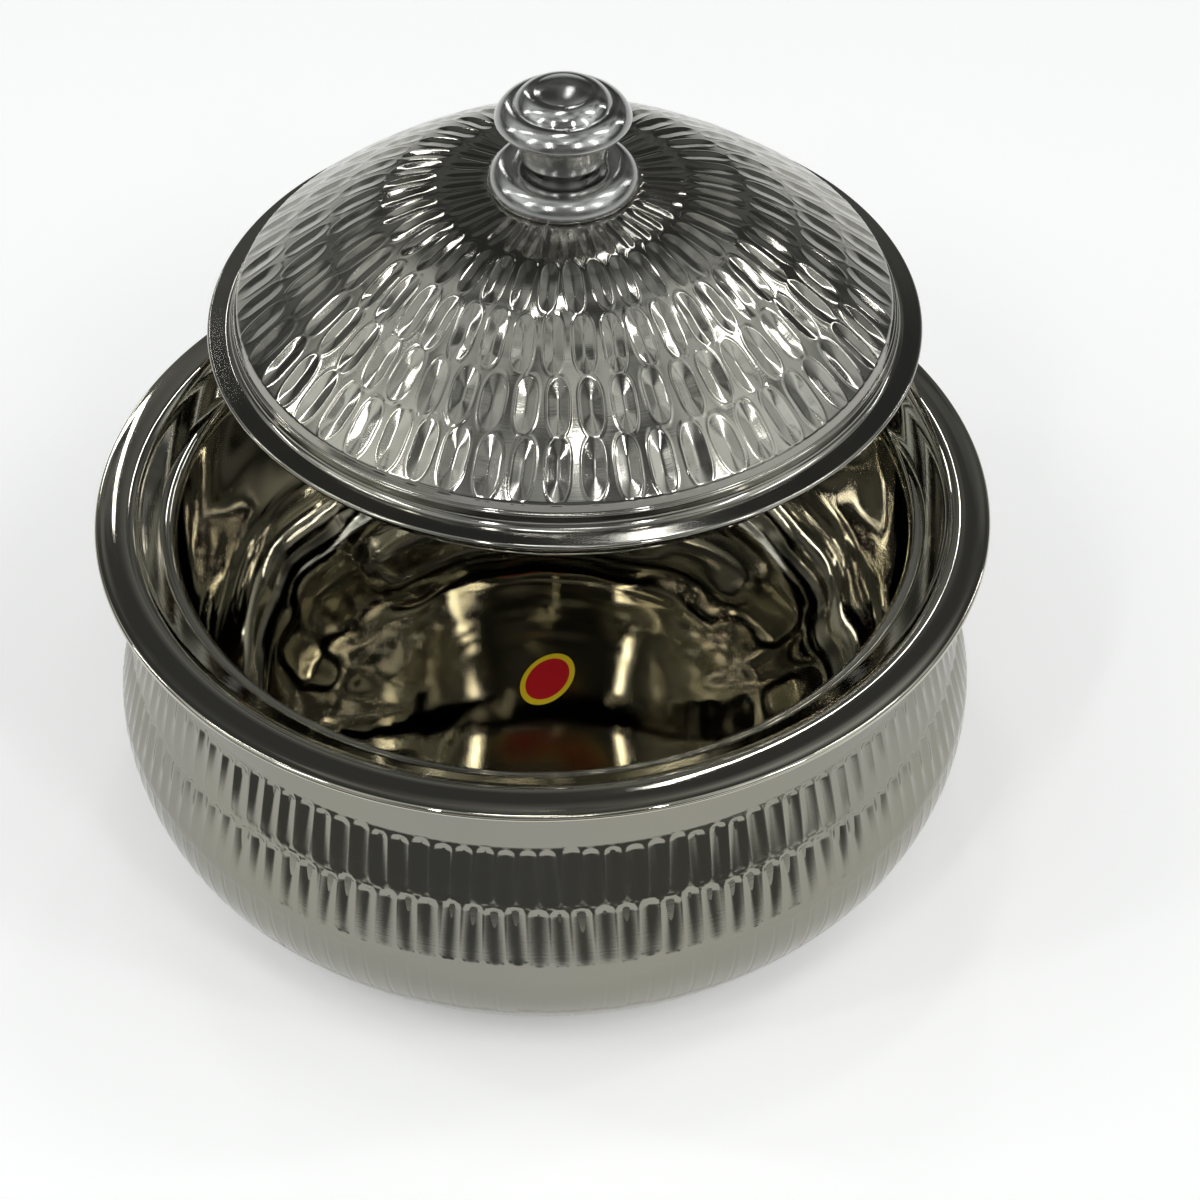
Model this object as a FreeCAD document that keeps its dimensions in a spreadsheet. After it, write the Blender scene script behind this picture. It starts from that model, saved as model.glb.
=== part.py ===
import FreeCAD
import Part
import Sketcher
import math
import os
import re

# Insulated chapati casserole: a double-walled steel pot with a loose, insulated lid.
# Millimetres, +Z up.  The origin is on the pot's axis at the underside of its base plate.
# The lid is modelled about its own axis, with height 0 at the widest circle of its edge,
# and is then placed where it rests: pushed back over the rim, so that the pot stands open.

SIZES = {
    # pot: rim and seat, outward from the opening and down from the crest of the rim
    "pot_height": 117.8,
    "opening_radius": 115.0,
    "opening_round": 2.7,
    "ledge_width": 1.2,
    "ledge_slope": 0.25,
    "seat_width": 7.5,
    "seat_rise": 4.2,
    "crest_width": 4.3,
    "crest_rise": 1.95,
    "crest_curve": 6.0,
    "flange_width": 9.3,
    "flange_fall": 1.1,
    "flange_curve": 31.0,
    "hem_reach": 1.5,
    # pot: inner bowl
    "pot_wall": 0.8,
    "bowl_floor": 14.5,
    "bowl_corner": 46.0,
    # pot: outer shell
    "neck_gap": 12.2,
    "neck_round": 2.0,
    "neck_drop": 26.3,
    "belly_swell": 10.1,
    "belly_height": 45.0,
    "belly_turn": 30.0,
    "belly_dip": 1.0,
    "foot_reach": 11.3,
    "foot_round": 3.0,
    "foot_width": 4.0,
    # pot: base
    "base_thickness": 1.2,
    "base_gap": 0.15,
    "base_edge": 0.4,
    "fill_hole_radius": 12.0,
    "plug_barb": 1.0,
    "plug_length": 3.5,
    # pot: label on the bowl's floor
    "label_length": 26.4,
    "label_width": 16.6,
    "label_thickness": 0.12,
    "label_back": 22.5,
    "label_turn": 66.0,
    # lid: flange and dome, inward from the edge and up from its widest circle
    "lid_wall": 0.7,
    "lid_edge_gap": 0.5,
    "lid_hem": 1.5,
    "band_width": 4.65,
    "band_rise": 0.55,
    "cove_radius": 2.6,
    "step_height": 3.0,
    "step_round": 0.8,
    "dome_lean": 1.1,
    "dome_rise": 3.2,
    "dome_side_curve": 360.0,
    "shoulder_radius": 72.0,
    "shoulder_fall": 15.9,
    "crown_radius": 36.0,
    "crown_fall": 1.3,
    "crown_curve": 75.0,
    "boss_margin": 0.8,
    "boss_height": 52.5,
    # lid: liner
    "skirt_gap": 6.0,
    "skirt_depth": 11.3,
    "skirt_bend": 2.0,
    "skirt_corner": 3.0,
    "panel_radius": 50.0,
    "panel_rise": 1.5,
    # knob: collar
    "knob_wall": 0.8,
    "collar_radius": 24.2,
    "collar_edge_inset": 0.8,
    "collar_edge_rise": 1.5,
    "collar_edge_curve": 2.0,
    "collar_height": 7.7,
    "collar_top_inset": 7.0,
    "collar_top_curve": 6.9,
    "collar_lip_width": 5.0,
    "collar_lip_fall": 0.9,
    "collar_lip_curve": 14.3,
    "collar_dish_width": 1.8,
    "collar_dish_fall": 0.5,
    # knob: hollow grip on its spacer
    "spacer_radius": 6.5,
    "spacer_height": 3.5,
    "knob_radius": 21.7,
    "knob_neck_width": 6.7,
    "knob_neck_height": 9.9,
    "knob_neck_taper": 1.0,
    "knob_neck_round": 2.0,
    "knob_flare_curve": 9.0,
    "knob_edge_inset": 1.5,
    "knob_edge_rise": 3.4,
    "bead_curve": 2.0,
    "bead_rise": 1.7,
    "tier_inset": 6.3,
    "tier_rise": 5.3,
    "tier_curve": 7.5,
    "button_inset": 6.1,
    "button_rise": 4.3,
    "button_curve": 8.0,
    "button_dome": 1.8,
    # knob: fastening
    "screw_radius": 3.0,
    "screw_clearance": 0.2,
    "screw_end": 2.7,
    "screw_head_radius": 5.5,
    "screw_head_height": 3.6,
    "socket_width": 4.0,
    "socket_depth": 2.2,
    "washer_radius": 9.0,
    "washer_thickness": 1.0,
    "nut_width": 10.0,
    "nut_height": 5.0,
    "thread_clearance": 0.02,
    # where the lid rests
    "park_side": 6.4,
    "park_back": 76.5,
    "park_gap": 0.3,
}

doc = FreeCAD.newDocument("casserole")
sheet = doc.addObject("Spreadsheet::Sheet", "Sizes")
for row, (alias, size) in enumerate(SIZES.items(), start=1):
    sheet.set("A%d" % row, alias)
    sheet.set("B%d" % row, str(size))
    sheet.setAlias("B%d" % row, alias)
gauge = doc.addObject("Part::Vertex", "Gauge")
doc.recompute()


def bound(formula):
    """The formula with each size's name pointing at its cell in the sheet."""
    def cell(match):
        word = match.group(0)
        return "Sizes." + word if word in SIZES else word
    return re.sub(r"[a-z_]+", cell, formula)


def measure(formula):
    """What a formula of sizes comes to, in millimetres."""
    gauge.setExpression("X", bound(formula))
    gauge.recompute()
    return gauge.X.Value


def arc_between(start, end, radius, turn):
    """The short arc from start to end; turn is +1 for anticlockwise, -1 for clockwise."""
    chord = end - start
    half = chord.Length / 2
    side = FreeCAD.Vector(-chord.y, chord.x, 0).normalize()
    centre = start + chord / 2 + side * (turn * math.sqrt(max(radius**2 - half**2, 0)))
    first, last = (start, end) if turn > 0 else (end, start)
    angles = [math.atan2(p.y - centre.y, p.x - centre.x) for p in (first, last)]
    if angles[1] < angles[0]:
        angles[1] += 2 * math.pi
    circle = Part.Circle(centre, FreeCAD.Vector(0, 0, 1), radius)
    return Part.ArcOfCircle(circle, angles[0], angles[1])


def hold(sketch, kind, formula, value, edge, end, axis):
    """Keep an edge's end at a bound distance from the origin, or on an axis."""
    if formula == "0":
        sketch.addConstraint(Sketcher.Constraint("PointOnObject", edge, end, axis))
        return
    place = sketch.addConstraint(Sketcher.Constraint(kind, -1, 1, edge, end, value))
    sketch.setExpression("Constraints[%d]" % place, bound(formula))


def draw(sketch, steps, closed):
    """Draw lines and arcs through the steps, each vertex and radius bound to the sizes.

    A step is (radius, height) for a line to that point, or (radius, height, curve, turn)
    for an arc to it.  Radius is measured from the axis, height along it.
    """
    points = [FreeCAD.Vector(measure(step[0]), measure(step[1]), 0) for step in steps]
    ends = []
    last = len(steps) if closed else len(steps) - 1
    for i in range(last):
        start, end = points[i], points[(i + 1) % len(points)]
        step = steps[(i + 1) % len(steps)]
        if len(step) == 2:
            edge = sketch.addGeometry(Part.LineSegment(start, end))
            ends.append((edge, 1, 2))
        else:
            curve, turn = step[2], step[3]
            edge = sketch.addGeometry(arc_between(start, end, measure(curve), turn))
            ends.append((edge, 1, 2) if turn > 0 else (edge, 2, 1))
            radius = sketch.addConstraint(Sketcher.Constraint("Radius", edge, measure(curve)))
            sketch.setExpression("Constraints[%d]" % radius, bound(curve))
    for before, after in zip(ends, ends[1:] + ends[:1] if closed else ends[1:]):
        sketch.addConstraint(Sketcher.Constraint("Coincident", before[0], before[2], after[0], after[1]))
    corners = [(edge, head) for edge, head, tail in ends]
    if not closed:
        corners.append((ends[-1][0], ends[-1][2]))
    for (edge, end), step, point in zip(corners, steps, points):
        hold(sketch, "DistanceX", step[0], point.x, edge, end, -2)
        hold(sketch, "DistanceY", step[1], point.y, edge, end, -1)


def upright():
    """A sketch plane through the axis, with the sketch's second direction up."""
    return FreeCAD.Placement(FreeCAD.Vector(), FreeCAD.Rotation(FreeCAD.Vector(1, 0, 0), 90))


def spun(label, steps, wall, below):
    """Sheet metal spun to shape: one face of its wall is drawn, from the edge in to the axis.

    The rest of the wall is below the drawn face, or above it.
    """
    sketch = doc.addObject("Sketcher::SketchObject", label + "_line")
    sketch.Placement = upright()
    draw(sketch, steps, closed=False)
    doc.recompute()
    section = doc.addObject("Part::Offset2D", label + "_section")
    section.Source = sketch
    section.Mode = "Skin"
    section.Fill = True
    # An arc is kept anticlockwise, so a line that starts with a clockwise one runs backwards.
    backwards = len(steps[1]) == 4 and steps[1][3] < 0
    section.setExpression("Value", bound(wall if below != backwards else "-1 * " + wall))
    piece = doc.addObject("Part::Revolution", label)
    piece.Label = label
    piece.Source = section
    piece.Base = FreeCAD.Vector()
    piece.Axis = FreeCAD.Vector(0, 0, 1)
    piece.Angle = 360
    piece.Solid = True
    doc.recompute()
    return piece


def plane(body, role):
    """One of a body's own origin planes."""
    return next(p for p in body.Origin.OriginFeatures if p.Role == role)


def new_body(label):
    body = doc.addObject("PartDesign::Body", label)
    body.Label = label
    return body


def attached_sketch(body, name, role):
    sketch = body.newObject("Sketcher::SketchObject", name)
    sketch.AttachmentSupport = (plane(body, role), "")
    sketch.MapMode = "FlatFace"
    doc.recompute()
    return sketch


def turned(label, steps):
    """A solid turned piece from its closed half section."""
    body = new_body(label)
    sketch = attached_sketch(body, label + "_half", "XZ_Plane")
    draw(sketch, steps, closed=True)
    turn = body.newObject("PartDesign::Revolution", label + "_turn")
    turn.Profile = sketch
    turn.ReferenceAxis = (sketch, ["V_Axis"])
    turn.Angle = 360
    doc.recompute()
    return body


def hexagon(sketch, width):
    """A hexagon centred on the sketch's origin, with its width across flats bound to a size."""
    across = measure(width)
    corner = across / math.sqrt(3)
    points = []
    for i in range(6):
        angle = i * math.pi / 3
        points.append(FreeCAD.Vector(corner * math.cos(angle), corner * math.sin(angle), 0))
    sides = [sketch.addGeometry(Part.LineSegment(points[i], points[(i + 1) % 6])) for i in range(6)]
    for i in range(6):
        sketch.addConstraint(Sketcher.Constraint("Coincident", sides[i], 2, sides[(i + 1) % 6], 1))
        if i:
            sketch.addConstraint(Sketcher.Constraint("Equal", sides[0], sides[i]))
    ring = sketch.addGeometry(Part.Circle(FreeCAD.Vector(), FreeCAD.Vector(0, 0, 1), corner), True)
    sketch.addConstraint(Sketcher.Constraint("Coincident", ring, 3, -1, 1))
    for side in sides:
        sketch.addConstraint(Sketcher.Constraint("PointOnObject", side, 1, ring))
    sketch.addConstraint(Sketcher.Constraint("PointOnObject", sides[0], 1, -1))
    size = sketch.addConstraint(Sketcher.Constraint("Radius", ring, corner))
    sketch.setExpression("Constraints[%d]" % size, bound(width + " / sqrt(3)"))


def circle_of(sketch, radius):
    """A circle centred on the sketch's origin, with its radius bound to the sizes."""
    size = measure(radius)
    circle = sketch.addGeometry(Part.Circle(FreeCAD.Vector(), FreeCAD.Vector(0, 0, 1), size))
    sketch.addConstraint(Sketcher.Constraint("Coincident", circle, 3, -1, 1))
    limit = sketch.addConstraint(Sketcher.Constraint("Radius", circle, size))
    sketch.setExpression("Constraints[%d]" % limit, bound(radius))


def cut_up(body, name, sketch, depth):
    """Cut a sketch's outline upward from its plane."""
    before = body.Shape.Volume
    pocket = body.newObject("PartDesign::Pocket", name)
    pocket.Profile = sketch
    pocket.Reversed = True
    pocket.setExpression("Length", bound(depth))
    doc.recompute()
    if body.Shape.Volume >= before:
        raise RuntimeError(name + " cuts nothing")


def hex_prism(body, feature, name, width, length, start):
    """A hexagon padded up, or cut up, from a given height."""
    sketch = attached_sketch(body, name + "_hexagon", "XY_Plane")
    sketch.setExpression("AttachmentOffset.Base.z", bound(start))
    hexagon(sketch, width)
    if feature == "PartDesign::Pocket":
        cut_up(body, name, sketch, length)
        return
    pad = body.newObject(feature, name)
    pad.Profile = sketch
    pad.setExpression("Length", bound(length))
    doc.recompute()


# ---------------------------------------------------------------- pot

# The rim's edge is folded round the shell's flange, so it is three sheets thick.
POT_HEM = "1.5 * pot_wall"
LEDGE_RADIUS = "opening_radius + opening_round"
SEAT_RADIUS = LEDGE_RADIUS + " + ledge_width"
GROOVE_RADIUS = SEAT_RADIUS + " + seat_width"
CREST_RADIUS = GROOVE_RADIUS + " + crest_width"
RIM_RADIUS = CREST_RADIUS + " + flange_width"
HEM_RADIUS = RIM_RADIUS + " - " + POT_HEM
GROOVE = "pot_height - crest_rise"
SEAT = GROOVE + " - seat_rise"
LEDGE = SEAT + " - ledge_slope"
FLANGE = "pot_height - flange_fall"
HEM = FLANGE + " - " + POT_HEM


def inner_bowl():
    """The bowl, its stepped seat and its rim, whose edge is rolled round the shell's flange."""
    steps = [
        (HEM_RADIUS + " - hem_reach", HEM + " - " + POT_HEM),
        (HEM_RADIUS, HEM + " - " + POT_HEM),
        (RIM_RADIUS, HEM, POT_HEM, 1),
        (HEM_RADIUS, FLANGE, POT_HEM, 1),
        (CREST_RADIUS, "pot_height", "flange_curve", 1),
        (GROOVE_RADIUS, GROOVE, "crest_curve", 1),
        (SEAT_RADIUS, SEAT),
        (LEDGE_RADIUS, LEDGE),
        ("opening_radius", LEDGE + " - opening_round", "opening_round", 1),
        ("opening_radius", "bowl_floor + bowl_corner"),
        ("opening_radius - bowl_corner", "bowl_floor", "bowl_corner", -1),
        ("0", "bowl_floor"),
    ]
    return spun("inner_bowl", steps, "pot_wall", below=True)


NECK_RADIUS = "opening_radius + pot_wall + neck_gap"
NECK = "pot_height - neck_drop"
BELLY_RADIUS = NECK_RADIUS + " + belly_swell"
BELLY_CURVE = "belly_height + belly_dip"
FOOT_RADIUS = BELLY_RADIUS + " - (" + BELLY_CURVE + ") + foot_reach"
BASE_RADIUS = FOOT_RADIUS + " - foot_round - foot_width"
CONE_DROP = "(" + NECK + " - belly_height)"
CONE_BACK = "(belly_turn - belly_swell)"
# The cone under the neck leans by this angle, so that it runs smoothly into the belly's turn.
CONE_LEAN = "(atan(%s / %s) - acos(belly_turn / sqrt(%s^2 + %s^2)))" % (2 * (CONE_DROP, CONE_BACK))


def outer_shell():
    """The bellied shell, from the flange that the rim grips down to the recess under its base."""
    flange = HEM + " - pot_wall / 2"
    steps = [
        (HEM_RADIUS, flange),
        (NECK_RADIUS + " + neck_round", flange),
        (NECK_RADIUS, flange + " - neck_round", "neck_round", 1),
        (NECK_RADIUS, NECK),
        (BELLY_RADIUS + " - belly_turn * (1 - cos" + CONE_LEAN + ")", "belly_height + belly_turn * sin" + CONE_LEAN),
        (BELLY_RADIUS, "belly_height", "belly_turn", -1),
        (FOOT_RADIUS, "belly_height - sqrt((" + BELLY_CURVE + ")^2 - foot_reach^2)", BELLY_CURVE, -1),
        (FOOT_RADIUS + " - foot_round", "0"),
        (BASE_RADIUS, "0"),
        (BASE_RADIUS, "base_thickness"),
        ("fill_hole_radius", "base_thickness"),
    ]
    return spun("outer_shell", steps, "pot_wall", below=False)


def fill_plug():
    """The plug that closes the hole through which the foam is poured."""
    shell_top = "base_thickness + pot_wall"
    steps = [
        ("0", "base_thickness"),
        ("fill_hole_radius", "base_thickness"),
        ("fill_hole_radius", shell_top),
        ("fill_hole_radius + plug_barb", shell_top),
        ("fill_hole_radius", shell_top + " + plug_length"),
        ("0", shell_top + " + plug_length"),
    ]
    return turned("fill_plug", steps)


def base_plate():
    """The flat disc pressed into the recess under the shell."""
    body = new_body("base_plate")
    sketch = attached_sketch(body, "base_plate_circle", "XY_Plane")
    circle_of(sketch, BASE_RADIUS + " - base_gap")
    pad = body.newObject("PartDesign::Pad", "base_plate_pad")
    pad.Profile = sketch
    pad.setExpression("Length", bound("base_thickness"))
    doc.recompute()
    middle = measure("base_thickness / 2")
    rim = [
        "Edge%d" % (i + 1)
        for i, edge in enumerate(pad.Shape.Edges)
        if edge.Closed and edge.CenterOfMass.z < middle
    ]
    edge = body.newObject("PartDesign::Chamfer", "base_plate_edge")
    edge.Base = (pad, rim)
    edge.setExpression("Size", bound("base_edge"))
    doc.recompute()
    return body


def label():
    """A plain oval label stuck to the bowl's floor."""
    oval = doc.addObject("Part::Ellipse", "label_outline")
    oval.setExpression("MajorRadius", bound("label_length / 2"))
    oval.setExpression("MinorRadius", bound("label_width / 2"))
    piece = doc.addObject("Part::Extrusion", "label")
    piece.Label = "label"
    piece.Base = oval
    piece.DirMode = "Custom"
    piece.Dir = FreeCAD.Vector(0, 0, 1)
    piece.Solid = True
    piece.setExpression("LengthFwd", bound("label_thickness"))
    piece.Placement = FreeCAD.Placement(FreeCAD.Vector(), FreeCAD.Rotation(FreeCAD.Vector(0, 0, 1), 0))
    piece.setExpression("Placement.Base.y", bound("label_back"))
    piece.setExpression("Placement.Base.z", bound("bowl_floor"))
    piece.setExpression("Placement.Rotation.Angle", bound("label_turn"))
    doc.recompute()
    return piece


def foam(name, around, pieces, inside):
    """All of the space, within a cylinder, that the pieces close in round a point."""
    left = around.cut([piece.Shape for piece in pieces])
    filling = doc.addObject("Part::Feature", name)
    filling.Label = name
    filling.Shape = next(s for s in left.Solids if s.isInside(inside, 0.001, False))
    return filling


def body_insulation(pieces):
    around = Part.makeCylinder(measure(RIM_RADIUS), measure("pot_height"))
    inside = FreeCAD.Vector(measure("opening_radius + pot_wall + neck_gap / 2"), 0, measure("belly_height"))
    return foam("body_insulation", around, pieces, inside)


# ---------------------------------------------------------------- lid

# The lid drops into the seat with its edge just inside the ledge's outer circle.
LID_HEM = "1.5 * lid_wall"
LID_RADIUS = LEDGE_RADIUS + " - lid_edge_gap"
LID_HEM_RADIUS = LID_RADIUS + " - " + LID_HEM
BAND_RADIUS = LID_HEM_RADIUS + " - band_width"
COVE = LID_HEM + " + band_rise + cove_radius"
STEP_RADIUS = BAND_RADIUS + " - cove_radius"
STEP = COVE + " + step_height - step_round"


def lid_dome():
    """The domed cover: rolled edge, flat band, cove, small step, long side and flat crown."""
    steps = [
        (LID_HEM_RADIUS + " - lid_hem", "-1 * " + LID_HEM),
        (LID_HEM_RADIUS, "-1 * " + LID_HEM),
        (LID_RADIUS, "0", LID_HEM, 1),
        (LID_HEM_RADIUS, LID_HEM, LID_HEM, 1),
        (BAND_RADIUS, LID_HEM + " + band_rise"),
        (STEP_RADIUS, COVE, "cove_radius", -1),
        (STEP_RADIUS, STEP + " - step_round"),
        (STEP_RADIUS + " - step_round", STEP, "step_round", 1),
        (STEP_RADIUS + " - step_round - dome_lean", STEP + " + dome_rise"),
        ("shoulder_radius", "boss_height - shoulder_fall", "dome_side_curve", 1),
        ("crown_radius", "boss_height - crown_fall", "crown_curve", 1),
        ("collar_radius + boss_margin", "boss_height"),
        ("screw_radius + screw_clearance", "boss_height"),
    ]
    return spun("lid_dome", steps, "lid_wall", below=True)


def lid_liner():
    """The pan under the dome: a flange in the dome's hem, a skirt and a floor with a raised panel."""
    skirt_radius = "opening_radius - skirt_gap"
    flange = "-1 * lid_wall / 2"
    panel = "panel_rise - skirt_depth"
    steps = [
        (LID_HEM_RADIUS, flange),
        (skirt_radius + " + skirt_bend", flange),
        (skirt_radius, flange + " - skirt_bend", "skirt_bend", 1),
        (skirt_radius, "skirt_corner - skirt_depth"),
        (skirt_radius + " - skirt_corner", "-1 * skirt_depth", "skirt_corner", -1),
        ("panel_radius", "-1 * skirt_depth"),
        ("panel_radius - panel_rise", panel),
        ("0", panel),
    ]
    return spun("lid_liner", steps, "lid_wall", below=False)


# ---------------------------------------------------------------- knob

BORE = "screw_radius + screw_clearance"
COLLAR_TOP = "boss_height + collar_height"
COLLAR_FLOOR = COLLAR_TOP + " - collar_lip_fall - collar_dish_fall"
SPACER_TOP = COLLAR_FLOOR + " + spacer_height"
NECK_TOP = SPACER_TOP + " + knob_neck_height"
GRIP_EDGE = NECK_TOP + " + knob_edge_rise"
BEAD = GRIP_EDGE + " + bead_rise"
TIER = BEAD + " + tier_rise"
BUTTON = TIER + " + button_rise"
BUTTON_RADIUS = "knob_radius - tier_inset - button_inset"
UNDER_BOSS = "boss_height - lid_wall"
HEAD_TOP = UNDER_BOSS + " - washer_thickness"
NUT_FLOOR = SPACER_TOP + " + knob_wall"


def knob_collar():
    """The cupped ring on the crown: a shallow dish whose rim rolls outward and down."""
    lip = "collar_radius - collar_top_inset - collar_lip_width"
    steps = [
        ("collar_radius - collar_edge_inset", "boss_height"),
        ("collar_radius", "boss_height + collar_edge_rise", "collar_edge_curve", 1),
        ("collar_radius - collar_top_inset", COLLAR_TOP, "collar_top_curve", 1),
        (lip, COLLAR_TOP + " - collar_lip_fall", "collar_lip_curve", 1),
        (lip + " - collar_dish_width", COLLAR_FLOOR),
        (BORE, COLLAR_FLOOR),
    ]
    return spun("knob_collar", steps, "knob_wall", below=True)


def knob_spacer():
    """The turned sleeve that carries the knob above its collar."""
    steps = [
        (BORE, COLLAR_FLOOR),
        ("spacer_radius", COLLAR_FLOOR),
        ("spacer_radius", SPACER_TOP),
        (BORE, SPACER_TOP),
    ]
    return turned("knob_spacer", steps)


def knob_cup():
    """The lower half of the hollow knob: a tapered neck that flares to the grip's edge."""
    foot = "knob_radius - knob_neck_width - knob_neck_taper"
    steps = [
        ("knob_radius - knob_edge_inset", GRIP_EDGE),
        ("knob_radius - knob_neck_width", NECK_TOP, "knob_flare_curve", -1),
        (foot, SPACER_TOP + " + knob_neck_round"),
        (foot + " - knob_neck_round", SPACER_TOP, "knob_neck_round", -1),
        (BORE, SPACER_TOP),
    ]
    return spun("knob_cup", steps, "knob_wall", below=False)


def knob_cap():
    """The upper half of the hollow knob: a broad bead, a second tier and a domed button."""
    button_curve = "((" + BUTTON_RADIUS + ")^2 + button_dome^2) / (2 * button_dome)"
    steps = [
        ("knob_radius - knob_edge_inset", GRIP_EDGE),
        ("knob_radius", BEAD, "bead_curve", 1),
        ("knob_radius - tier_inset", TIER, "tier_curve", 1),
        (BUTTON_RADIUS, BUTTON, "button_curve", 1),
        ("0", BUTTON + " + button_dome", button_curve, 1),
    ]
    return spun("knob_cap", steps, "knob_wall", below=True)


def knob_screw():
    """The screw that holds the knob, put in from under the dome before the lid is filled."""
    head = HEAD_TOP + " - screw_head_height"
    end = NUT_FLOOR + " + nut_height + screw_end"
    steps = [
        ("0", head),
        ("screw_head_radius", head),
        ("screw_head_radius", HEAD_TOP),
        ("screw_radius", HEAD_TOP),
        ("screw_radius", end),
        ("0", end),
    ]
    body = turned("knob_screw", steps)
    hex_prism(body, "PartDesign::Pocket", "knob_screw_socket", "socket_width", "socket_depth", head)
    return body


def knob_washer():
    steps = [
        (BORE, HEAD_TOP),
        ("washer_radius", HEAD_TOP),
        ("washer_radius", UNDER_BOSS),
        (BORE, UNDER_BOSS),
    ]
    return turned("knob_washer", steps)


def knob_nut():
    """The nut inside the hollow knob, on the floor of its lower half."""
    body = new_body("knob_nut")
    hex_prism(body, "PartDesign::Pad", "knob_nut_pad", "nut_width", "nut_height", NUT_FLOOR)
    sketch = attached_sketch(body, "knob_nut_circle", "XY_Plane")
    sketch.setExpression("AttachmentOffset.Base.z", bound(NUT_FLOOR))
    circle_of(sketch, "screw_radius + thread_clearance")
    cut_up(body, "knob_nut_bore", sketch, "nut_height")
    return body


def lid_insulation(pieces):
    bottom = FreeCAD.Vector(0, 0, measure("-1 * skirt_depth"))
    around = Part.makeCylinder(measure(LID_RADIUS), measure("skirt_depth + boss_height"), bottom)
    inside = FreeCAD.Vector(measure("shoulder_radius"), 0, measure("skirt_corner"))
    return foam("lid_insulation", around, pieces, inside)


def park(piece):
    """Put a piece of the lid where the lid rests on the rim."""
    piece.setExpression("Placement.Base.x", bound("park_side"))
    piece.setExpression("Placement.Base.y", bound("park_back"))
    piece.setExpression("Placement.Base.z", bound("pot_height + park_gap + skirt_depth"))


bowl = inner_bowl()
shell = outer_shell()
plug = fill_plug()
pot = [bowl, shell, body_insulation([bowl, shell, plug]), base_plate(), plug, label()]

dome = lid_dome()
liner = lid_liner()
screw = knob_screw()
washer = knob_washer()
lid = [dome, liner, knob_collar(), knob_spacer(), knob_cup(), knob_cap(), knob_nut(), screw, washer]
lid.append(lid_insulation([dome, liner, screw, washer]))
for piece in lid:
    park(piece)
doc.removeObject(gauge.Name)
doc.recompute()

for item in doc.Objects:
    if "Invalid" in item.State or "Error" in item.State:
        raise RuntimeError("%s failed to build: %s" % (item.Label, item.State))
for piece in pot + lid:
    if piece.Shape.isNull() or not piece.Shape.isValid() or len(piece.Shape.Solids) != 1:
        raise RuntimeError("%s is not one valid solid" % piece.Label)

os.makedirs("parts", exist_ok=True)
for piece in pot + lid:
    piece.Shape.exportStep("parts/%s.step" % piece.Label)
    box = piece.Shape.BoundBox
    print("%-16s %9.0f mm3  z %6.1f to %6.1f" % (piece.Label, piece.Shape.Volume, box.ZMin, box.ZMax))
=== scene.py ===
import math

import bpy
import mathutils
import numpy as np
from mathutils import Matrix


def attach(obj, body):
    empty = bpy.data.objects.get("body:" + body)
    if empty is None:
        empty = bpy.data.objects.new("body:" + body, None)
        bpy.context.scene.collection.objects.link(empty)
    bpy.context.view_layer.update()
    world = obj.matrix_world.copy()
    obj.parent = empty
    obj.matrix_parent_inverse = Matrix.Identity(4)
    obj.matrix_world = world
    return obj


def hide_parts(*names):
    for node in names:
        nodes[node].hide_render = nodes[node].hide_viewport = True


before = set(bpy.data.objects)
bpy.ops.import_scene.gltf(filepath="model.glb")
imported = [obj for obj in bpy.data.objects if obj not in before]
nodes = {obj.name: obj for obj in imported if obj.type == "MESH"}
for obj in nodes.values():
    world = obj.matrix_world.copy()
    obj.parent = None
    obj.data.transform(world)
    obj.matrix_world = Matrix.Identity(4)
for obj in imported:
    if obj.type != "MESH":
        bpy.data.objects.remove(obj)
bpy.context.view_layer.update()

MM = 0.001

# Sizes in millimetres.  Heights of the pot are above the table; those of the lid and the knob
# are above the widest circle of the lid's edge.
RIM = 140.0
POT_WALL = 0.8
POT_HEM = 1.5 * POT_WALL
POT_HEIGHT = 117.8
FLANGE = POT_HEIGHT - 1.1
OPENING = 115.0
BOWL_FLOOR = 14.5
BOWL_CORNER = 46.0
CREASE = 91.5
NECK = 128.0
NECK_ROUND = 2.0
BELLY = 138.1
BELLY_HEIGHT = 45.0
BELLY_TURN = 30.0
BELLY_CURVE = 46.0
FOOT = 103.4
FOOT_ROUND = 3.0
BASE = 96.4
BASE_THICKNESS = 1.2
FILL_HOLE = 12.0
# How far a rolled edge laps back under its sheet.
HEM_LAP = 1.5

LID_WALL = 0.7
LID_HEM = 1.5 * LID_WALL
LID_EDGE = 117.2
LID_AXIS = (6.4, 76.5, 129.4)
SKIRT = 109.0
LINER_FLOOR = -11.3
LINER_MIDDLE = -9.8
KNOB_WALL = 0.8
BOSS = 52.5
BORE = 3.2


# ------------------------------------------------------------------ profiles

# An arc has at least this many steps, and none of them wider than this angle in radians.
LEAST_ARC_STEPS = 4
WIDEST_ARC_STEP = 0.12
# A smaller radius is a point on the axis.
ON_AXIS = 1e-6
# The face of a sheet that nothing shows has one row of points for this many of the seen face.
HIDDEN_STEP = 4


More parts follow.
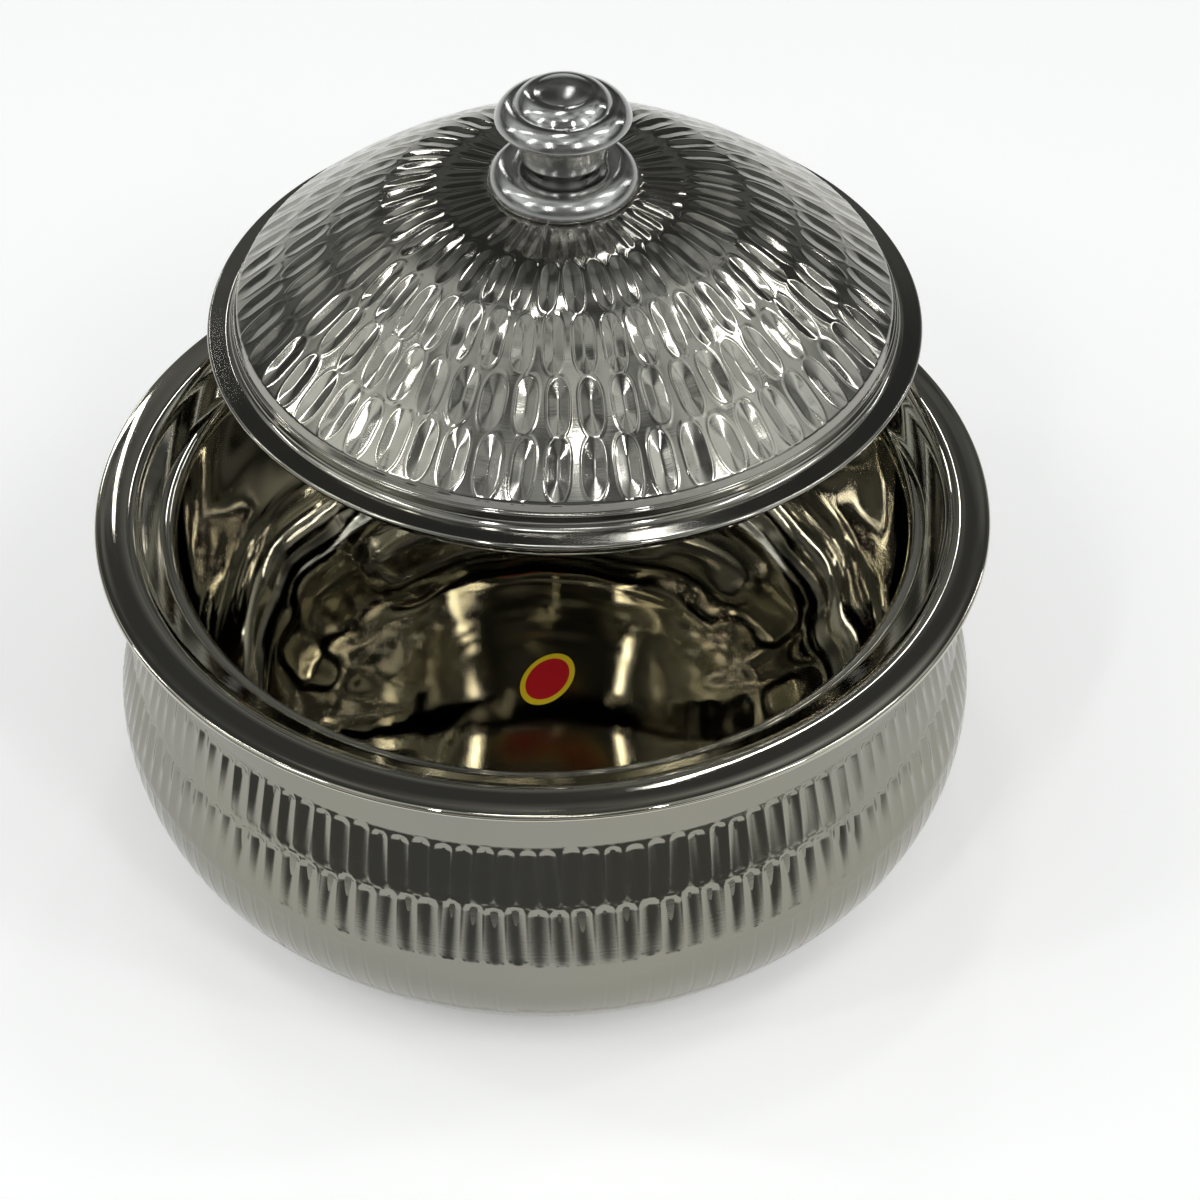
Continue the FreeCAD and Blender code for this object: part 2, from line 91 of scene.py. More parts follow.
def arc(start, end, radius, turn, step):
    """Points of the short arc from start to end, without start itself."""
    (x0, y0), (x1, y1) = start, end
    dx, dy = x1 - x0, y1 - y0
    chord = math.hypot(dx, dy)
    rise = math.sqrt(max(radius * radius - chord * chord / 4, 0.0))
    cx = x0 + dx / 2 - dy / chord * rise * turn
    cy = y0 + dy / 2 + dx / chord * rise * turn
    first = math.atan2(y0 - cy, x0 - cx)
    sweep = math.atan2(y1 - cy, x1 - cx) - first
    while sweep * turn < 0:
        sweep += 2 * math.pi * turn
    count = max(
        LEAST_ARC_STEPS,
        int(math.ceil(abs(sweep) * radius / step)),
        int(math.ceil(abs(sweep) / WIDEST_ARC_STEP)),
    )
    angles = first + sweep * np.arange(1, count + 1) / count
    return [(cx + radius * math.cos(a), cy + radius * math.sin(a)) for a in angles]


def trace(steps, step):
    """Points along lines (r, z) and arcs (r, z, radius, turn), closer together than step."""
    points = [steps[0][:2]]
    for here in steps[1:]:
        last = points[-1]
        if len(here) == 4:
            points += arc(last, here[:2], here[2], here[3], step)
            continue
        length = math.hypot(here[0] - last[0], here[1] - last[1])
        count = max(1, int(math.ceil(length / step)))
        for i in range(1, count + 1):
            t = i / count
            points.append((last[0] + (here[0] - last[0]) * t, last[1] + (here[1] - last[1]) * t))
    return np.array(points)


def normals(line):
    """Unit normals of an open line, to the right of its direction."""
    along = np.gradient(line, axis=0)
    along /= np.linalg.norm(along, axis=1)[:, None]
    return np.stack([along[:, 1], -along[:, 0]], axis=1)


def sheet(line, wall, right):
    """The other face of a sheet of metal, a wall's thickness to the right or left of a line."""
    other = line + normals(line) * (wall if right else -wall)
    other[np.abs(line[:, 0]) < ON_AXIS, 0] = 0.0
    other[:, 0] = np.maximum(other[:, 0], 0.0)
    return other


def flips(line, other):
    """Whether the face behind lies to the right of the line, so that outward is to its left."""
    middle = len(line) // 2
    gap = other[middle] - line[middle]
    return float(np.dot(gap, normals(line)[middle])) > 0


def round_angles(segments):
    """The angles of points spaced evenly round the axis."""
    return np.arange(segments) * 2 * math.pi / segments


def lathe(name, line, other, segments, relief=None, centre=(0.0, 0.0, 0.0)):
    """A turned sheet: line is the seen face, with its relief, and other is the face behind it."""
    theta = round_angles(segments)
    outward = normals(line) * (-1.0 if flips(line, other) else 1.0)
    rows = []
    for i, (r, z) in enumerate(line):
        push = relief[i] if relief is not None else 0.0
        rows.append((r + outward[i, 0] * push, z + outward[i, 1] * push))
    behind = sorted(set(range(0, len(other), HIDDEN_STEP)) | {len(other) - 1}, reverse=True)
    rows += [tuple(other[i]) for i in behind]
    points, index = [], []
    for r, z in rows:
        radius = np.broadcast_to(r, theta.shape)
        height = np.broadcast_to(z, theta.shape)
        if np.max(np.abs(radius)) < ON_AXIS:
            index.append(np.full(segments, len(points)))
            points.append((centre[0], centre[1], centre[2] + float(np.mean(height))))
            continue
        start = len(points)
        index.append(np.arange(start, start + segments))
        x = centre[0] + radius * np.cos(theta)
        y = centre[1] + radius * np.sin(theta)
        points.extend(zip(x, y, centre[2] + height))
    faces = []
    for k in range(len(rows)):
        a, b = index[k], index[(k + 1) % len(rows)]
        pole_a, pole_b = a[0] == a[1], b[0] == b[1]
        if pole_a and pole_b:
            continue
        a2, b2 = np.roll(a, -1), np.roll(b, -1)
        if pole_a:
            faces += list(zip(a, b, b2))
        elif pole_b:
            faces += list(zip(a, b, a2))
        else:
            faces += list(zip(a, b, b2, a2))
    mesh = bpy.data.meshes.new(name)
    corners = [tuple(c * MM for c in p) for p in points]
    mesh.from_pydata(corners, [], [tuple(int(i) for i in f) for f in faces])
    mesh.validate()
    mesh.update()
    mesh.shade_smooth()
    piece = bpy.data.objects.new(name, mesh)
    bpy.context.scene.collection.objects.link(piece)
    return piece


# ------------------------------------------------------------------ hammer marks

rng = np.random.default_rng(7)

# How much the marks differ: their place aside as a share of the pitch, their place along and
# their length as shares of the row's, their width and depth as shares of their own, and their
# lean as a slope.
ASIDE_SPREAD = 0.03
ALONG_SPREAD = 0.03
LENGTH_SPREAD = 0.03
WIDTH_SPREAD = 0.07
DEPTH_SPREAD = 0.22
LEAN_SPREAD = 0.05
# The raised lip round a mark: its height as a share of the mark's depth, and its place and
# width as shares of the mark's half width.
LIP_HEIGHT = 0.20
LIP_PLACE = 1.12
LIP_WIDTH = 0.10
# The crease between neighbours: its half width, and how quickly it fades in from its ends.
SEAM_HALF = 0.40
SEAM_FADE = 6


def marks(theta, line, place, rows, taper, slant, seam):
    """Relief of the hammer's marks: long oval grooves in rows round the axis.

    A row is (low, high, count, phase, depth, fill, soft): its ends in terms of place, how many
    marks it has and how far they are turned, their depth, the share of the pitch that a mark
    fills, and how round its bottom is, from 0 for a sharp V.  taper stretches their ends, and
    slant makes them deeper at the start of the line than at its end.  seam is the depth of the
    thin crease between neighbours.
    """
    relief = np.zeros((len(line), len(theta)))
    steps = np.linalg.norm(np.diff(line, axis=0), axis=1)
    length = np.concatenate([[0.0], np.cumsum(steps)])
    for low, high, count, phase, depth, fill, soft in rows:
        inside = np.where((place > low) & (place < high))[0]
        start, end = length[inside[0]], length[inside[-1]]
        jitter = rng.uniform(-1, 1, (6, count))
        turn = theta / (2 * math.pi) * count + phase
        cell = np.floor(turn).astype(int) % count
        aside, along, wider, deeper, lean, longer = jitter[:, cell]
        pitch = 2 * math.pi * line[inside, 0][:, None] / count
        middle_pitch = float(np.mean(pitch))
        half = middle_pitch * fill / 2 * (1 + WIDTH_SPREAD * wider)
        reach = (end - start) / 2 * (1 - LENGTH_SPREAD + LENGTH_SPREAD * longer)
        v = length[inside][:, None] - (start + end) / 2
        v = v - ALONG_SPREAD * (end - start) * along[None, :]
        across = turn - np.floor(turn) - 0.5
        u = across[None, :] * pitch - (ASIDE_SPREAD * middle_pitch) * aside[None, :]
        u = u - LEAN_SPREAD * lean[None, :] * v
        ends = np.maximum(np.abs(v) - (reach - taper * half)[None, :], 0.0) / taper
        edge = np.hypot(u, ends) / half[None, :]
        deepest = math.sqrt(1 + soft**2)
        groove = np.clip(deepest - np.sqrt(edge**2 + soft**2), 0, None) / (deepest - soft)
        lip = LIP_HEIGHT * np.exp(-(((edge - LIP_PLACE) / LIP_WIDTH) ** 2))
        deep = depth * (1 + DEPTH_SPREAD * deeper)
        relief[inside] += deep[None, :] * (lip - groove * (1 - slant * v / reach[None, :]))
        apart = (0.5 - np.abs(across))[None, :] * pitch
        fade = np.clip((1 - np.abs(v) / reach[None, :]) * SEAM_FADE, 0, 1)
        relief[inside] -= seam * fade * np.exp(-((apart / SEAM_HALF) ** 2))
    return relief


# ------------------------------------------------------------------ pot

CONE_DROP = CREASE - BELLY_HEIGHT
CONE_BACK = BELLY_TURN - (BELLY - NECK)
CONE_REACH = math.hypot(CONE_DROP, CONE_BACK)
CONE_LEAN = math.atan(CONE_DROP / CONE_BACK) - math.acos(BELLY_TURN / CONE_REACH)
FOOT_HEIGHT = BELLY_HEIGHT - math.sqrt(BELLY_CURVE**2 - (FOOT - BELLY + BELLY_CURVE) ** 2)
SHELL_TOP = FLANGE - POT_HEM - POT_WALL / 2
SHELL_SEGMENTS = 2048
# A place that no row of marks reaches.
NO_MARKS = -1.0

shell_line = trace([
    (RIM - POT_HEM, SHELL_TOP),
    (NECK + NECK_ROUND, SHELL_TOP),
    (NECK, SHELL_TOP - NECK_ROUND, NECK_ROUND, 1),
    (NECK, CREASE),
    (
        BELLY - BELLY_TURN * (1 - math.cos(CONE_LEAN)),
        BELLY_HEIGHT + BELLY_TURN * math.sin(CONE_LEAN),
    ),
    (BELLY, BELLY_HEIGHT, BELLY_TURN, -1),
    (FOOT, FOOT_HEIGHT, BELLY_CURVE, -1),
], 0.8)
base_line = trace([
    tuple(shell_line[-1]),
    (FOOT - FOOT_ROUND, 0.0),
    (BASE, 0.0),
    (BASE, BASE_THICKNESS),
    (FILL_HOLE, BASE_THICKNESS),
], 12.0)
shell_line = np.vstack([shell_line, base_line[1:]])
shell_theta = round_angles(SHELL_SEGMENTS)
shell_height = np.where(shell_line[:, 0] > FOOT, shell_line[:, 1], NO_MARKS)
shell_rows = [
    (70.8, 91.2, 128, 0.0, 0.46, 0.88, 0.30),
    (49.5, 70.8, 128, 0.5, 0.58, 0.88, 0.30),
]
foot_rows = [
    (23.4, 49.5, 128, 0.0, 0.20, 1.02, 0.70),
    (5.5, 23.4, 128, 0.5, 0.13, 1.02, 0.70),
]
shell_relief = marks(
    shell_theta, shell_line, shell_height, shell_rows, taper=0.6, slant=0.95, seam=0.0
)
shell_relief += marks(
    shell_theta, shell_line, shell_height, foot_rows, taper=0.6, slant=0.0, seam=0.30
)
shell_behind = sheet(shell_line, POT_WALL, True)
shell = lathe("shell_skin", shell_line, shell_behind, SHELL_SEGMENTS, shell_relief)

bowl_line = trace([
    (RIM - POT_HEM - HEM_LAP, FLANGE - 2 * POT_HEM),
    (RIM - POT_HEM, FLANGE - 2 * POT_HEM),
    (RIM, FLANGE - POT_HEM, POT_HEM, 1),
    (RIM - POT_HEM, FLANGE, POT_HEM, 1),
    (130.7, POT_HEIGHT, 31.0, 1),
    (126.4, POT_HEIGHT - 1.95, 6.0, 1),
    (118.9, POT_HEIGHT - 6.15),
    (117.7, POT_HEIGHT - 6.4),
    (OPENING, POT_HEIGHT - 9.1, 2.7, 1),
    (OPENING, BOWL_FLOOR + BOWL_CORNER),
    (OPENING - BOWL_CORNER, BOWL_FLOOR, BOWL_CORNER, -1),
    (0.0, BOWL_FLOOR),
], 1.5)
BOWL_SEGMENTS = 960
bowl_theta = round_angles(BOWL_SEGMENTS)
bowl_radius, bowl_height = bowl_line[:, 0], bowl_line[:, 1]

# The wall's long shallow waves, each (count round the bowl, height, phase, lean).  They fade out
# below the opening, and towards the floor's middle from a radius of 72 mm to one of 42 mm.
WAVE_TOP = 112.0
WAVE_FADE = 30.0
WAVE_MEAN = 0.5
DEEPEST_WAVE = -0.3
waved = np.clip((WAVE_TOP - bowl_height) / WAVE_FADE, 0, 1)
waved = waved * np.clip(bowl_radius / WAVE_FADE - 1.4, 0, 1)
wave = WAVE_MEAN + sum(
    size * np.sin(count * bowl_theta[None, :] + phase + bowl_height[:, None] * lean)
    for count, size, phase, lean in (
        (4, 0.35, 0.4, 0.03),
        (7, 0.28, 1.9, -0.05),
        (11, 0.20, 3.3, 0.07),
        (17, 0.14, 5.0, -0.04),
        (23, 0.05, 1.1, 0.02),
    )
)
# The floor's spinning rings: even ripples and two raised rings, each (radius, height).  They
# begin outside the label, at a radius of 38 mm, and end where the floor turns up.
RIPPLE_PITCH = 11.0
RIPPLE_HEIGHT = 0.05
RING_WIDTH = 2.0
RING_TOP = BOWL_FLOOR + 12.0
ringed = (bowl_height < RING_TOP) * np.clip(bowl_radius / 10.0 - 3.8, 0, 1)
rings = RIPPLE_HEIGHT * np.sin(bowl_radius * 2 * math.pi / RIPPLE_PITCH)
for ring_radius, ring_height in ((70.0, 0.16), (52.0, 0.10)):
    rings = rings + ring_height * np.exp(-(((bowl_radius - ring_radius) / RING_WIDTH) ** 2))
bowl_relief = np.maximum(wave, DEEPEST_WAVE) * waved[:, None] + (ringed * rings)[:, None]
bowl_behind = sheet(bowl_line, POT_WALL, False)
bowl = lathe("bowl_skin", bowl_line, bowl_behind, BOWL_SEGMENTS, bowl_relief)

# ------------------------------------------------------------------ lid

DOME_SEGMENTS = 1740
LINER_SEGMENTS = 320
# The lid's marks lie above this height, on the dome itself.
DOME_FOOT = 9.0

dome_line = trace([
    (LID_EDGE - LID_HEM - HEM_LAP, -LID_HEM),
    (LID_EDGE - LID_HEM, -LID_HEM),
    (LID_EDGE, 0.0, LID_HEM, 1),
    (LID_EDGE - LID_HEM, LID_HEM, LID_HEM, 1),
    (111.5, 1.6),
    (108.9, 4.2, 2.6, -1),
    (108.9, 5.6),
    (108.1, 6.4, 0.8, 1),
    (107.0, 9.6),
    (72.0, 36.6, 360.0, 1),
    (36.0, 51.2, 75.0, 1),
    (25.0, BOSS),
    (BORE, BOSS),
], 0.7)
dome_theta = round_angles(DOME_SEGMENTS)
dome_place = np.where(dome_line[:, 1] > DOME_FOOT, dome_line[:, 0], NO_MARKS)
dome_rows = [
    (91.2, 107.4, 58, 0.1, 0.50, 0.66, 0.14),
    (75.5, 91.2, 52, 0.6, 0.50, 0.66, 0.14),
    (59.0, 75.5, 46, 0.3, 0.50, 0.66, 0.14),
    (39.8, 59.0, 39, 0.8, 0.46, 0.66, 0.16),
    (24.2, 39.8, 36, 0.2, 0.26, 0.66, 0.25),
]
dome_relief = marks(
    dome_theta, dome_line, dome_place, dome_rows, taper=2.0, slant=0.0, seam=0.0
)
dome_behind = sheet(dome_line, LID_WALL, False)
dome = lathe("dome_skin", dome_line, dome_behind, DOME_SEGMENTS, dome_relief, LID_AXIS)

liner_line = trace([
    (LID_EDGE - LID_HEM, -LID_WALL / 2),
    (111.0, -LID_WALL / 2),
    (SKIRT, -LID_WALL / 2 - 2.0, 2.0, 1),
    (SKIRT, -8.3),
    (106.0, LINER_FLOOR, 3.0, -1),
    (50.0, LINER_FLOOR),
    (48.5, LINER_MIDDLE),
    (0.0, LINER_MIDDLE),
], 2.5)
liner_behind = sheet(liner_line, LID_WALL, True)
liner = lathe("liner_skin", liner_line, liner_behind, LINER_SEGMENTS, None, LID_AXIS)

# ------------------------------------------------------------------ knob

COLLAR_TOP = BOSS + 7.7
COLLAR_FLOOR = COLLAR_TOP - 1.4
GRIP_FOOT = COLLAR_FLOOR + 3.5
GRIP_NECK = GRIP_FOOT + 9.9
GRIP_EDGE = GRIP_NECK + 3.4
GRIP_RADIUS = 20.2
KNOB_STEP = 0.4
KNOB_SEGMENTS = 256


def knob_sheet(name, steps, right):
    """One turned sheet of the knob or its collar."""
    line = trace(steps, KNOB_STEP)
    behind = sheet(line, KNOB_WALL, right)
    return lathe(name, line, behind, KNOB_SEGMENTS, None, LID_AXIS)


collar = knob_sheet("collar_skin", [
    (23.4, BOSS),
    (24.2, BOSS + 1.5, 2.0, 1),
    (17.2, COLLAR_TOP, 6.9, 1),
    (12.2, COLLAR_TOP - 0.9, 14.3, 1),
    (10.4, COLLAR_FLOOR),
    (BORE, COLLAR_FLOOR),
], False)
cup = knob_sheet("knob_cup_skin", [
    (GRIP_RADIUS, GRIP_EDGE),
    (15.0, GRIP_NECK, 9.0, -1),
    (14.0, GRIP_FOOT + 2.0),
    (12.0, GRIP_FOOT, 2.0, -1),
    (BORE, GRIP_FOOT),
], True)
cap = knob_sheet("knob_cap_skin", [
    (GRIP_RADIUS, GRIP_EDGE),
    (21.7, GRIP_EDGE + 1.7, 2.0, 1),
    (15.4, GRIP_EDGE + 7.0, 7.5, 1),
    (9.3, GRIP_EDGE + 11.3, 8.0, 1),
    (0.0, GRIP_EDGE + 13.1, 24.925, 1),
], False)


# ------------------------------------------------------------------ nodes

def node(tree, kind, **values):
    """A shader node with its properties and inputs set by name."""
    made = tree.nodes.new(kind)
    for key, value in values.items():
        if hasattr(made, key):
            setattr(made, key, value)
        else:
            made.inputs[key.replace("_", " ")].default_value = value
    return made


def feed(tree, made, sources):
    """Fill a node's inputs in order, each from a socket or with a plain value."""
    for socket, source in zip(made.inputs, sources):
        if isinstance(source, bpy.types.NodeSocket):
            tree.links.new(source, socket)
        else:
            socket.default_value = source


def number(tree, operation, *sources):
    """The result of a Math node."""
    made = node(tree, "ShaderNodeMath", operation=operation)
    feed(tree, made, sources)
    return made.outputs["Value"]


def vector(tree, operation, *sources):
    """The result of a Vector Math node, which is a number for a length or a dot product."""
    made = node(tree, "ShaderNodeVectorMath", operation=operation)
    feed(tree, made, sources)
    return made.outputs["Value" if operation in ("LENGTH", "DOT_PRODUCT") else "Vector"]


def axes(tree, source):
    """The outputs X, Y and Z of a vector."""
    made = node(tree, "ShaderNodeSeparateXYZ")
    tree.links.new(source, made.inputs[0])
    return made.outputs


def smooth(tree, source, start, end, low, high):
    """A smooth step from low to high, as the source goes from start to end."""
    made = node(tree, "ShaderNodeMapRange", interpolation_type="SMOOTHSTEP")
    limits = (("From Min", start), ("From Max", end), ("To Min", low), ("To Max", high))
    for socket, value in limits:
        made.inputs[socket].default_value = value
    tree.links.new(source, made.inputs["Value"])
    return made.outputs["Result"]


def ramp(tree, source, stops):
    """The colour of a ramp with stops (place, colour or grey level)."""
    made = node(tree, "ShaderNodeValToRGB")
    band = made.color_ramp
    while len(band.elements) < len(stops):
        band.elements.new(0.5)
    for element, (place, colour) in zip(band.elements, stops):
        grey = isinstance(colour, float)
        element.position = place
        element.color = (colour, colour, colour, 1.0) if grey else (*colour, 1.0)
    tree.links.new(source, made.inputs["Fac"])
    return made.outputs["Color"]


def noise(tree, source, scale, detail, roughness=0.5):
    """The level of a noise texture at the source's point."""
    made = node(tree, "ShaderNodeTexNoise", Scale=scale, Detail=detail, Roughness=roughness)
    tree.links.new(source, made.inputs["Vector"])
    return made.outputs["Fac"]


def bump(tree, shader, source, strength, distance):
    """Roughen a shader's surface by a height source."""
    made = node(tree, "ShaderNodeBump", Strength=strength, Distance=distance)
    tree.links.new(source, made.inputs["Height"])
    tree.links.new(made.outputs["Normal"], shader.inputs["Normal"])


def new_material(name):
    """A material with its node tree, its shader and the object's coordinates."""
    made = bpy.data.materials.new(name)
    made.use_nodes = True
    tree = made.node_tree
    place = node(tree, "ShaderNodeTexCoord").outputs["Object"]
    return made, tree, tree.nodes["Principled BSDF"], place


# ------------------------------------------------------------------ materials

# How often the noise of the spinning marks repeats: across them per metre, and along them per
# radian.
ACROSS_DENSITY = 1800.0
ALONG_DENSITY = 1.2


def turned_space(tree, place, centre):
    """A point's radius, height and angle about an axis, stretched for marks left by spinning."""
    shifted = vector(tree, "SUBTRACT", place, (centre[0] * MM, centre[1] * MM, 0.0))
    radius = vector(tree, "LENGTH", vector(tree, "MULTIPLY", shifted, (1.0, 1.0, 0.0)))
    apart = axes(tree, shifted)
    angle = number(tree, "ARCTAN2", apart["Y"], apart["X"])
    together = node(tree, "ShaderNodeCombineXYZ")
    for socket, source, density in (
        ("X", radius, ACROSS_DENSITY),
        ("Y", apart["Z"], ACROSS_DENSITY),
        ("Z", angle, ALONG_DENSITY),
    ):
        tree.links.new(number(tree, "MULTIPLY", source, density), together.inputs[socket])
    return together.outputs["Vector"]


def steel(name, colour, warm, rough, spin, centre=(0.0, 0.0)):
    """Polished steel: spinning marks, smudges and a slight change of tint."""
    made, tree, shader, place = new_material(name)
    tint = noise(tree, place, 11.0, 2.0)
    tints = ramp(tree, tint, [(0.35, colour), (0.65, warm)])
    tree.links.new(tints, shader.inputs["Base Color"])
    smudge = noise(tree, place, 26.0, 5.0, 0.62)
    shine = ramp(tree, smudge, [(0.38, rough * 0.75), (0.72, rough * 1.7)])
    tree.links.new(shine, shader.inputs["Roughness"])
    spun = noise(tree, turned_space(tree, place, centre), 1.0, 3.0, 0.6)
    bump(tree, shader, spun, spin, 0.0002)
    shader.inputs["Metallic"].default_value = 1.0
    return made


def plain(name, colour, dark, rough, scale, strength):
    """A moulded or foamed material: mottled colour with a fine grain."""
    made, tree, shader, place = new_material(name)
    grain = noise(tree, place, scale, 4.0, 0.6)
    tree.links.new(ramp(tree, grain, [(0.35, dark), (0.65, colour)]), shader.inputs["Base Color"])
    bump(tree, shader, grain, strength, 0.0003)
    shader.inputs["Roughness"].default_value = rough
    return made


# The label's middle behind the pot's own and its turn in degrees, its half length and width,
# and the shares of those between which its red gives way to the yellow border.
LABEL_BACK = 22.5
LABEL_TURN = 66.0
LABEL_HALF = (13.2, 8.3)
LABEL_BORDER = (0.795, 0.815)
LABEL_RED = (0.55, 0.012, 0.02)
LABEL_YELLOW = (0.82, 0.60, 0.02)


def label_material():
    """A red oval film with a yellow border."""
    made, tree, shader, place = new_material("label_film")
    shifted = vector(tree, "SUBTRACT", place, (0.0, LABEL_BACK * MM, 0.0))
    turn = node(tree, "ShaderNodeVectorRotate", rotation_type="Z_AXIS")
    turn.inputs["Angle"].default_value = math.radians(-LABEL_TURN)
    tree.links.new(shifted, turn.inputs["Vector"])
    scale = (1 / (LABEL_HALF[0] * MM), 1 / (LABEL_HALF[1] * MM), 0.0)
    reach = vector(tree, "LENGTH", vector(tree, "MULTIPLY", turn.outputs["Vector"], scale))
    colours = ramp(tree, reach, list(zip(LABEL_BORDER, (LABEL_RED, LABEL_YELLOW))))
    tree.links.new(colours, shader.inputs["Base Color"])
    bump(tree, shader, noise(tree, place, 900.0, 2.0), 0.08, 0.0001)
    shader.inputs["Roughness"].default_value = 0.32
    return made


def dress(piece, made):
    piece.data.materials.clear()
    piece.data.materials.append(made)


dress(shell, steel("shell_steel", (0.265, 0.26, 0.23), (0.285, 0.275, 0.23), 0.10, 0.05))
dress(bowl, steel("bowl_steel", (0.51, 0.49, 0.43), (0.54, 0.515, 0.43), 0.04, 0.03))
dress(dome, steel("dome_steel", (0.32, 0.312, 0.285), (0.345, 0.335, 0.29), 0.09, 0.05, LID_AXIS))
dress(liner, steel("liner_steel", (0.50, 0.495, 0.465), (0.53, 0.52, 0.475), 0.07, 0.10, LID_AXIS))
knob_steel = steel("knob_steel", (0.42, 0.42, 0.41), (0.46, 0.455, 0.435), 0.15, 0.12, LID_AXIS)
for piece in (collar, cup, cap):
    dress(piece, knob_steel)
satin = steel("satin_steel", (0.52, 0.52, 0.51), (0.55, 0.54, 0.52), 0.28, 0.4)
foam = plain("foam", (0.80, 0.72, 0.50), (0.66, 0.58, 0.36), 0.85, 600.0, 0.6)
plastic = plain("plug_plastic", (0.06, 0.06, 0.065), (0.04, 0.04, 0.045), 0.5, 900.0, 0.3)
for name in ("base_plate", "knob_spacer", "knob_screw", "knob_nut", "knob_washer"):
    dress(nodes[name], satin)
for name in ("body_insulation", "lid_insulation"):
    dress(nodes[name], foam)
dress(nodes["fill_plug"], plastic)
dress(nodes["label"], label_material())

for piece, body, replaced, slot in (
    (shell, "pot", "outer_shell", "hammered_steel"),
    (bowl, "pot", "inner_bowl", "polished_steel"),
    (dome, "lid", "lid_dome", "hammered_steel"),
    (liner, "lid", "lid_liner", "polished_steel"),
    (collar, "lid", "knob_collar", "polished_steel"),
    (cup, "lid", "knob_cup", "polished_steel"),
    (cap, "lid", "knob_cap", "polished_steel"),
):
    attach(piece, body)
    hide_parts(replaced)


# ------------------------------------------------------------------ studio, in metres

FLOOR_SIZE = 40.0
FLOOR_COLOUR = (0.86, 0.86, 0.86, 1.0)
# The floor's own brightness towards the camera and in the metal, which makes it white.
FLOOR_LIFT = 0.35
# Grey of the card that only the metal sees: a painted dark reflection in front of the casserole.
PAINTED_REFLECTION_COLOUR = (0.15, 0.15, 0.15, 1.0)
FLAG_PLACE = (-0.34, -0.60, 0.004)
FLAG_HALF = (0.66, 0.50, 1.0)
# The flag fades out between these shares of its half size, and between these distances from
# the casserole's middle, where it is cut round.
FLAG_EDGE = (0.82, 1.0)
FLAG_CUT = (0.24, 0.30)


def floor_material():
    """A pale matt floor, as bright in the metal as it is to the camera."""
    made, tree, shader, _ = new_material("floor")
    path = node(tree, "ShaderNodeLightPath").outputs
    seen = number(tree, "MAXIMUM", path["Is Camera Ray"], path["Is Glossy Ray"])
    seen = number(tree, "MAXIMUM", seen, path["Is Transmission Ray"])
    lift = number(tree, "MULTIPLY", seen, FLOOR_LIFT)
    tree.links.new(lift, shader.inputs["Emission Strength"])
    shader.inputs["Base Color"].default_value = FLOOR_COLOUR
    shader.inputs["Emission Color"].default_value = FLOOR_COLOUR
    shader.inputs["Roughness"].default_value = 0.9
    shader.inputs["Specular IOR Level"].default_value = 0.1
    return made


def painted_reflection_material():
    """Grey matt card whose edges fade, so that its painted dark reflection has no hard edge."""
    made, tree, shader, place = new_material("painted_reflection_card")
    both_sides = axes(tree, vector(tree, "ABSOLUTE", place))
    reach = number(tree, "MAXIMUM", both_sides["X"], both_sides["Y"])
    away = vector(tree, "LENGTH", node(tree, "ShaderNodeNewGeometry").outputs["Position"])
    fade = smooth(tree, reach, *FLAG_EDGE, 1.0, 0.0)
    cut = smooth(tree, away, *FLAG_CUT, 0.0, 1.0)
    tree.links.new(number(tree, "MULTIPLY", fade, cut), shader.inputs["Alpha"])
    shader.inputs["Base Color"].default_value = PAINTED_REFLECTION_COLOUR
    shader.inputs["Roughness"].default_value = 1.0
    shader.inputs["Specular IOR Level"].default_value = 0.0
    return made


bpy.ops.mesh.primitive_plane_add(size=FLOOR_SIZE, location=(0, 0, 0))
floor = bpy.context.object
floor.name = "floor"
dress(floor, floor_material())

# A photographer's flag lying in front of the casserole, which paints a dark reflection in the
# metal.
# It works on reflections alone, as the lamps' own shapes do, so no view shows it and it casts no
# shadow.
bpy.ops.mesh.primitive_plane_add(size=2.0, location=FLAG_PLACE)
painted_reflection_flag = bpy.context.object
painted_reflection_flag.name = "painted_reflection_flag"
painted_reflection_flag.scale = FLAG_HALF
painted_reflection_flag.visible_camera = False
painted_reflection_flag.visible_diffuse = False
painted_reflection_flag.visible_transmission = False
painted_reflection_flag.visible_shadow = False
dress(painted_reflection_flag, painted_reflection_material())

world = bpy.context.scene.world or bpy.data.worlds.new("studio")
bpy.context.scene.world = world
world.use_nodes = True
sky = world.node_tree
sky.nodes.clear()
direction = node(sky, "ShaderNodeTexCoord").outputs["Generated"]

GLOW_STRENGTH = 1.3
ROOM_LEVEL = 0.05
BACKDROP_LEVEL = 0.50
# The backdrop fades out between these heights of a direction's unit vector.
BACKDROP_EDGE = (0.06, 0.14)
ROOM_TINT = (0.97, 1.0, 0.98)


def unit_vector(elevation, heading):
    """The unit vector of a direction given in degrees."""
    up, round_ = math.radians(elevation), math.radians(heading)
    return math.cos(up) * math.cos(round_), math.cos(up) * math.sin(round_), math.sin(up)


def glow(elevation, heading, inner, outer, strength):
    """Soft light round one direction, full within the inner angle and gone at the outer one."""
    near = vector(sky, "DOT_PRODUCT", direction, unit_vector(elevation, heading))
    start, end = math.cos(math.radians(outer)), math.cos(math.radians(inner))
    return smooth(sky, near, start, end, 0.0, strength)


sky_level = None
for elevation, heading, inner, outer, strength in (
    (72, -90, 8, 24, 0.60),
    (64, -80, 1, 9, 1.20),
    (48, 174, 10, 36, 0.66),
    (50, 6, 12, 38, 0.70),
    (30, -150, 8, 32, 0.55),
    (30, -30, 8, 32, 0.60),
    (88, 90, 0, 28, 0.12),
    (20, 130, 5, 26, 0.14),
    (22, 48, 5, 26, 0.10),
    (30, 90, 3, 20, 0.10),
    (25, -90, 5, 30, 0.15),
):
    part = glow(elevation, heading, inner, outer, strength)
    sky_level = part if sky_level is None else number(sky, "ADD", sky_level, part)
